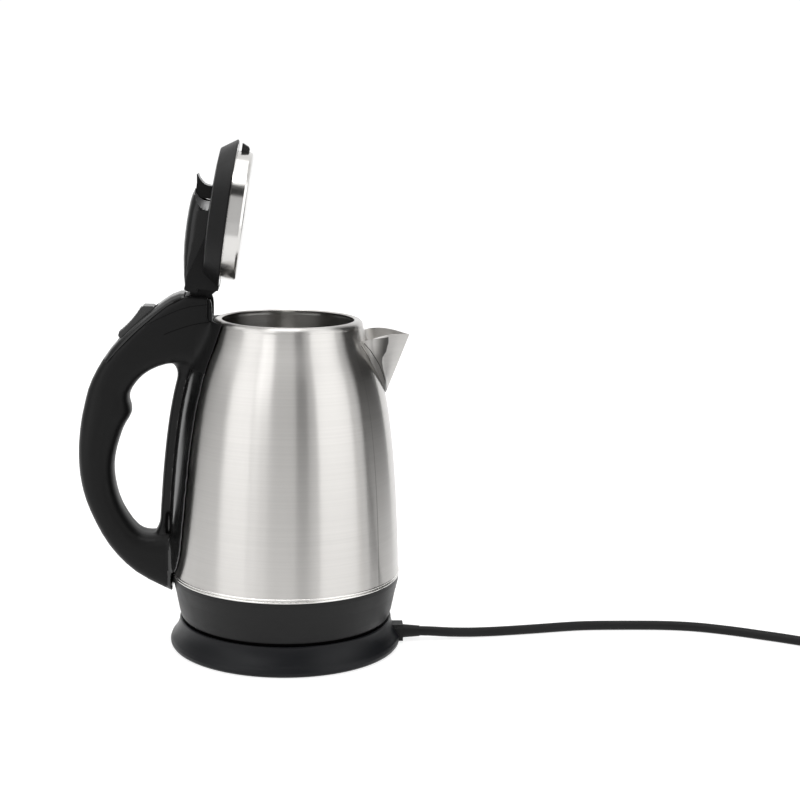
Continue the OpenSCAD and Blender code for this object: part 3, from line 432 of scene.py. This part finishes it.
fold_shade = socket_math(spout_tree, "MULTIPLY", fold_shade, below_lip)
darken(spout_steel, spout_shader, fold_shade, (0.05, 0.048, 0.045))
print("points on the spout's crease:", len(fold_line))

# %% Other metals
bright_steel, bright_shader = finish("bright_steel", (0.60, 0.59, 0.575), 0.17, metallic=1)
grain(bright_steel, bright_shader, (500, 500, 500), 0.000002)
bead_steel, bead_shader = finish("bead_steel", (0.7, 0.69, 0.67), 0.2, metallic=1)
grain(bead_steel, bead_shader, (60, 60, 2500), 0.000002)
# Dark metal for the weld at the spout's root, and for the painted shade line along the spout's crease.
weld_and_crease_shade, weld_and_crease_shader = finish("weld_and_crease_shade", (0.03, 0.028, 0.026), 0.5, metallic=1)
grain(weld_and_crease_shade, weld_and_crease_shader, (900, 900, 900), 0.00001)
zinc, zinc_shader = finish("zinc_plate", (0.62, 0.62, 0.6), 0.3, metallic=1)
grain(zinc, zinc_shader, (900, 900, 900), 0.00001)
cast_alloy, alloy_shader = finish("cast_alloy", (0.5, 0.5, 0.49), 0.45, metallic=1)
grain(cast_alloy, alloy_shader, (700, 700, 700), 0.00004)
brass, brass_shader = finish("brass", (0.5, 0.33, 0.13), 0.3, metallic=1)
grain(brass, brass_shader, (1200, 1200, 60), 0.000008)
print("materials:", len(bpy.data.materials))

# %% Each part's finish
slot_finish = {
    "base_satin": base_plastic, "housing_satin": housing_plastic, "handle_satin": handle_plastic,
    "gloss_black": gloss_plastic, "inner_plastic": inner_plastic, "ivory_plastic": ivory_plastic,
    "rocker_plastic": rocker_plastic, "steel": brushed_steel, "bright_steel": bright_steel,
    "screw_steel": zinc, "spring_steel": bright_steel, "element_alloy": cast_alloy, "contact_brass": brass,
    "lead_rubber": lead_rubber, "foot_rubber": foot_rubber, "wire": wire_sleeve}
slot_of = {part["node"]: part["material_slot"] for part in frame["record"]["subparts"]}
own_finish = {"vessel": jug_steel, "spout": spout_steel, "handle_saddle": handle_plastic}
for node, part in frame["nodes"].items():
    part.data.materials.clear()
    part.data.materials.append(own_finish.get(node, slot_finish[slot_of[node]]))
lead_curve.materials.append(lead_rubber)
white_floor, floor_shader = finish("white_floor", (0.4, 0.4, 0.4), 0.8)
floor_shader.inputs["Specular IOR Level"].default_value = 0
floor_shader.inputs["Emission Color"].default_value = (1, 1, 1, 1)
floor_shader.inputs["Emission Strength"].default_value = FLOOR_GLOW
floor_mesh.materials.append(white_floor)
print("finished parts:", len(slot_of))


# %% [markdown]
# ## Smooth copies
# The glossy trim on the handle, the hump on the lid, its thumb button and the spout are built of flat facets.
# Each gets a copy with its corners merged and its shading rounded, so that only its real edges stay sharp.
# Faces of the hump and the button that look up while the lid stands open get a light grey, a painted
# reflection of the white sky, and the spout's root is drawn in a little.

# %% Smooth copies
MERGE = 2e-6
LOOKS_UP = 0.3
ROOT_END, ROOT_LENGTH = 0.055, 0.011   # where the spout's drawn-in root ends, and how long it is, in metres
ROOT_PINCH, ROOT_SHIFT = 0.12, 0.0019


def smooth_copy(node, body, angle):
    """A piece in a CAD node's place: the same form, shaded smooth where faces meet under the angle."""
    source = frame["nodes"][node]
    mesh = source.data.copy()
    mesh.name = node + "_smooth"
    bm = bmesh.new()
    bm.from_mesh(mesh)
    bmesh.ops.remove_doubles(bm, verts=bm.verts, dist=MERGE)
    bmesh.ops.dissolve_degenerate(bm, edges=bm.edges, dist=MERGE)
    for face in bm.faces:
        face.smooth = True
    for edge in bm.edges:
        edge.smooth = len(edge.link_faces) == 2 and edge.calc_face_angle(0) < radians(angle)
    bm.to_mesh(mesh)
    bm.free()
    if "custom_normal" in mesh.attributes:
        mesh.attributes.remove(mesh.attributes["custom_normal"])
    piece = bpy.data.objects.new(node + "_smooth", mesh)
    scene.collection.objects.link(piece)
    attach(piece, body)
    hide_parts(node)
    even = piece.modifiers.new("even_normals", "WEIGHTED_NORMAL")
    even.keep_sharp = True
    return piece


for node, body, angle in (("handle_trim", "kettle", 38), ("lid_hump", "lid", 50), ("spout", "kettle", 38),
                          ("lid_button", "latch", 38)):
    piece = smooth_copy(node, body, angle)
    print(piece.name, len(piece.data.polygons), "faces")
# Faces that look up get the painted sky reflection; the other faces keep the black gloss.
for name, lowest in (("lid_hump_smooth", 289), ("lid_button_smooth", 301)):
    piece = bpy.data.objects[name]
    piece.data.materials.append(painted_sky_reflection)
    for face in piece.data.polygons:
        face.material_index = int(face.normal.z > LOOKS_UP and face.center.z > lowest * MM)
for corner in bpy.data.objects["spout_smooth"].data.vertices:
    root = min(max((ROOT_END - corner.co.x) / ROOT_LENGTH, 0), 1)
    root *= root * (3 - 2 * root)
    corner.co.y *= 1 - ROOT_PINCH * root
    corner.co.x += ROOT_SHIFT * root

# %% [markdown]
# ## One skin for the handle
# The handle's loop and the collar behind it are one moulding to the eye: the arm spreads softly into the
# collar. Both forms are joined, with a small block in the narrow gap at the foot, and covered with one even
# skin of small squares. The skin is relaxed, a lot where arm and collar meet and only a little elsewhere.

# %% Handle skin
SKIN = 0.95 * MM
jug_wall = [(40, 75), (60, 74.3), (90, 72.8), (120, 70.6), (150, 67.3), (170, 63.7), (180, 61.2), (190, 57.8),
            (200, 53.6), (210, 50)]   # height and radius of the jug behind the collar, in mm
arm_meets_collar = ((-74, -25, 178), (-49, 25, 215))
near_edge = ((-78, -40, 50), (-35, -15, 216))
far_edge = ((-78, 15, 50), (-35, 40, 216))
foot_filler = ((-78, 0, 83), (7, 15, 22))
COLLAR_TOP, COLLAR_DEPTH = 186, 4.3


def one_skin(name, nodes, body, soft_places, fillers):
    """One relaxed skin over several nodes. Soft places are boxes in mm, each with its rounds of smoothing.
    Fillers are the centres and sizes in mm of blocks that close narrow gaps."""
    mesh = bpy.data.meshes.new(name)
    bm = bmesh.new()
    for node in nodes:
        bm.from_mesh(frame["nodes"][node].data)
    bmesh.ops.remove_doubles(bm, verts=bm.verts, dist=MERGE)
    for centre, size in fillers:
        place = Matrix.Translation(Vector(centre) * MM) @ Matrix.Diagonal((*[side * MM for side in size], 1))
        bmesh.ops.create_cube(bm, size=1, matrix=place)
    bm.to_mesh(mesh)
    bm.free()
    rough = bpy.data.objects.new(name + "_rough", mesh)
    scene.collection.objects.link(rough)
    cover = rough.modifiers.new("cover", "REMESH")
    cover.mode, cover.voxel_size = "VOXEL", SKIN
    covered = bpy.data.meshes.new_from_object(rough.evaluated_get(bpy.context.evaluated_depsgraph_get()))
    bpy.data.objects.remove(rough)
    bm = bmesh.new()
    bm.from_mesh(covered)
    bpy.data.meshes.remove(covered)

    def relax(corners, rounds):
        for _ in range(rounds):
            bmesh.ops.smooth_vert(bm, verts=corners, factor=0.5, use_axis_x=True, use_axis_y=True,
                                  use_axis_z=True)

    relax(bm.verts[:], 3)
    for (low, high), rounds in soft_places:
        relax([v for v in bm.verts if all(a * MM <= c <= b * MM for a, c, b in zip(low, v.co, high))], rounds)
    for face in bm.faces:
        face.smooth = True
    skin = bpy.data.meshes.new(name)
    bm.to_mesh(skin)
    bm.free()
    piece = bpy.data.objects.new(name, skin)
    scene.collection.objects.link(piece)
    piece.data.materials.append(handle_plastic)
    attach(piece, body)
    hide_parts(*nodes)
    return piece


handle_skin = one_skin("handle_skin", ["handle_shell", "handle_saddle"], "kettle",
                       [(arm_meets_collar, 60), (near_edge, 30), (far_edge, 30)], [foot_filler])
handle_skin.data.materials.append(collar_gloss)
for square in handle_skin.data.polygons:
    x, y, z = (c / MM for c in square.center)
    wall = next(r0 + (r1 - r0) * (z - z0) / (z1 - z0) for (z0, r0), (z1, r1) in zip(jug_wall, jug_wall[1:])
                if z <= z1 or z1 == jug_wall[-1][0])
    square.material_index = int(z < COLLAR_TOP and hypot(x, y) < wall + COLLAR_DEPTH)
print("handle skin:", len(handle_skin.data.polygons), "squares")

# %% [markdown]
# ## The bead round the jug's foot
# Where the jug meets its plastic housing the maker rolls a bead of two polished rings. Its cross-section is
# a short line of points, spun round the kettle's axis into a closed ring.

# %% Bead
bead_section = [(73.9, 48.55), (74.75, 48.55), (75.1, 48.8), (75.2, 49.2), (75.1, 49.6), (74.8, 49.85),
                (74.35, 49.95), (74.35, 50.2), (74.85, 50.35), (75.12, 50.7), (75.1, 51.1), (74.9, 51.4),
                (74.5, 51.6), (73.9, 51.6)]


def spun_ring(name, section, steps=180):
    """A closed ring from a section given as radius and height in mm."""
    mesh = bpy.data.meshes.new(name)
    bm = bmesh.new()
    corners = [bm.verts.new((r * MM, 0, z * MM)) for r, z in section]
    edges = [bm.edges.new(pair) for pair in zip(corners, corners[1:] + corners[:1])]
    bmesh.ops.spin(bm, geom=corners + edges, cent=(0, 0, 0), axis=(0, 0, 1), steps=steps, angle=2 * pi,
                   use_merge=True)
    bmesh.ops.remove_doubles(bm, verts=bm.verts, dist=1e-6)
    bmesh.ops.recalc_face_normals(bm, faces=bm.faces)
    for face in bm.faces:
        face.smooth = True
    bm.to_mesh(mesh)
    bm.free()
    ring = bpy.data.objects.new(name, mesh)
    scene.collection.objects.link(ring)
    return ring


bead = spun_ring("foot_bead", bead_section)
bead.data.materials.append(bead_steel)
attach(bead, "kettle")
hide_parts("seam_ring")
print("bead:", len(bead.data.polygons), "faces")

# %% [markdown]
# ## Seams
# The handle is moulded in pieces that meet in hairline seams. A seam is drawn as a dark thread half sunk in
# the surface: its line is given from the side, and each of its points is dropped on to the moulding. The weld
# at the spout's root is drawn the same way, and so is a painted shade line along the spout's crease.

# %% Seams
carriers = {"handle_shell": handle_skin, "spout": bpy.data.objects["spout_smooth"]}


def thread(name, node, side, line, width, body, material, sink=0.3, steps=6):
    """A dark thread along a line of X and Z in mm, dropped on to a node from the side -1 or +1."""
    carrier = carriers.get(node, frame["nodes"][node]).data
    tree = BVHTree.FromPolygons([v.co for v in carrier.vertices], [p.vertices for p in carrier.polygons])
    dropped = []
    for (x0, z0), (x1, z1) in zip(line, line[1:]):
        for step in range(steps):
            t = step / steps
            start = Vector((x0 + (x1 - x0) * t, side * 90, z0 + (z1 - z0) * t)) * MM
            place, normal, _, _ = tree.ray_cast(start, Vector((0, -side, 0)))
            if place is not None:
                dropped.append(place - normal * width * sink * MM)
    curve = bpy.data.curves.new(name, "CURVE")
    curve.dimensions, curve.bevel_depth, curve.bevel_resolution = "3D", width / 2 * MM, 2
    curve.use_fill_caps = True
    path = curve.splines.new("POLY")
    path.points.add(len(dropped) - 1)
    for point, place in zip(path.points, dropped):
        point.co = (*place, 1)
    drawn = bpy.data.objects.new(name + "_line", curve)
    piece = bpy.data.objects.new(name, bpy.data.meshes.new_from_object(drawn))
    bpy.data.objects.remove(drawn)
    for face in piece.data.polygons:
        face.use_smooth = True
    piece.data.materials.append(material)
    scene.collection.objects.link(piece)
    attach(piece, body)


upper_seam = [(-50.9, 227.9), (-56.6, 227.3), (-62.6, 226.4), (-68.6, 224.6), (-74.1, 222.4), (-83.2, 218),
              (-92.2, 213)]
lower_seam = [(-50.6, 216.6), (-55.5, 216), (-59.9, 215.1), (-64, 214), (-68.4, 212.5), (-74, 210.5),
              (-79.8, 208)]
root_line = [(46.7, 203.6), (49.8, 198.9), (53.2, 192.8), (56.7, 187), (60.3, 179.6)]
crease_line = [(48.4, 205.3), (52.2, 201.2), (56.3, 194.9), (59.1, 190), (61.3, 184.2), (63.4, 178)]
for side, side_name in ((-1, "near"), (1, "far")):
    thread("upper_seam_" + side_name, "handle_shell", side, upper_seam, 0.42, "kettle",
           seam_black)
    thread("lower_seam_" + side_name, "handle_shell", side, lower_seam, 0.5, "kettle",
           seam_black)
    thread("spout_root_" + side_name, "vessel", side, root_line, 0.5, "kettle", weld_and_crease_shade, sink=0.2)
    # The crease thread is a painted shade line along the fold; the root thread above it is the weld.
    thread("spout_crease_" + side_name, "spout", side, crease_line, 0.55, "kettle", weld_and_crease_shade,
           sink=0.2)
print("seams drawn: four on each side")

# %% [markdown]
# ## Ribs on the rocker, and the hump's seat
# A thumb needs grip on the rocker, so its top carries a row of fine round ribs. Under the hump a thin wedge
# closes the joint to the lid's shoulder. It is drawn with the lid shut and turned open about the hinge.

# %% Ribs and seat
def own_mesh(name, bm, material, body, smooth=True):
    """Turns a bmesh into a finished piece that rides on a body."""
    bmesh.ops.recalc_face_normals(bm, faces=bm.faces)
    for face in bm.faces:
        face.smooth = smooth
    mesh = bpy.data.meshes.new(name)
    bm.to_mesh(mesh)
    bm.free()
    mesh.materials.append(material)
    piece = bpy.data.objects.new(name, mesh)
    scene.collection.objects.link(piece)
    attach(piece, body)


rocker_pivot, rocker_tilt = Vector((-93.6, 0, 208.9)) * MM, radians(41.5)
rocker_top = [(-11, 8.85), (-9, 8.8), (-7, 8.8), (-5, 8.9), (-3, 9.05), (-1, 9.2), (1, 9.55), (3, 9.9),
              (5, 10.3), (7, 10.85), (9, 11.4)]
rib_radius, rib_length = 0.6 * MM, 11.6 * MM
to_rocker = Matrix.Translation(rocker_pivot) @ Matrix.Rotation(-rocker_tilt, 4, "Y")
bm = bmesh.new()
for x, z in rocker_top:
    place = to_rocker @ Matrix.Translation(Vector((x, 0, z)) * MM) @ Matrix.Rotation(pi / 2, 4, "X")
    bmesh.ops.create_cone(bm, cap_ends=True, segments=16, radius1=rib_radius, radius2=rib_radius,
                          depth=rib_length, matrix=place)
own_mesh("rocker_ribs", bm, rocker_plastic, "switch")

hinge_at, lid_open = Vector((-56.5, 0, 229.4)) * MM, radians(82.3)
seat_section = [(-14.7, 230.6), (-14.7, 231.7), (-41.5, 239.35), (-41.5, 238.7)]   # with the lid shut
SEAT_WIDTH = 26.8
bm = bmesh.new()
seat = bm.faces.new([bm.verts.new((x * MM, -SEAT_WIDTH / 2 * MM, z * MM)) for x, z in seat_section])
pulled = bmesh.ops.extrude_face_region(bm, geom=[seat])["geom"]
far_corners = [g for g in pulled if isinstance(g, bmesh.types.BMVert)]
bmesh.ops.translate(bm, vec=(0, SEAT_WIDTH * MM, 0), verts=far_corners)
bmesh.ops.rotate(bm, verts=bm.verts, cent=hinge_at, matrix=Matrix.Rotation(-lid_open, 3, "Y"))
own_mesh("hump_seat", bm, gloss_plastic, "lid", smooth=False)
print("ribs:", len(rocker_top))

# %% [markdown]
# ## Lamps
# Two soft boxes join the cards. The key lamp stands high on the left, on the camera's side, and the other
# one hangs overhead and lights the rim and the floor.

# %% Lamps
def lamp(name, place, aim_at, width, height, power):
    """A rectangular soft box at a place, turned towards a point. Power in watts."""
    data = bpy.data.lights.new(name, "AREA")
    data.shape, data.size, data.size_y, data.energy = "RECTANGLE", width, height, power
    box = bpy.data.objects.new(name, data)
    scene.collection.objects.link(box)
    towards = Vector(aim_at) - Vector(place)
    box.matrix_world = Matrix.Translation(place) @ towards.to_track_quat("-Z", "Y").to_matrix().to_4x4()


middle = (0, 0, 0.12)
lamp("key_lamp", (-0.9, -1.2, 1.1), middle, 0.9, 0.9, 6)
lamp("top_lamp", (0, 0.2, 1.7), middle, 1.6, 1.2, 6)
print("lamps:", len(bpy.data.lights))

# %% [markdown]
# ## The end
# Last, the scene's placements are brought up to date.

# %% The end
bpy.context.view_layer.update()
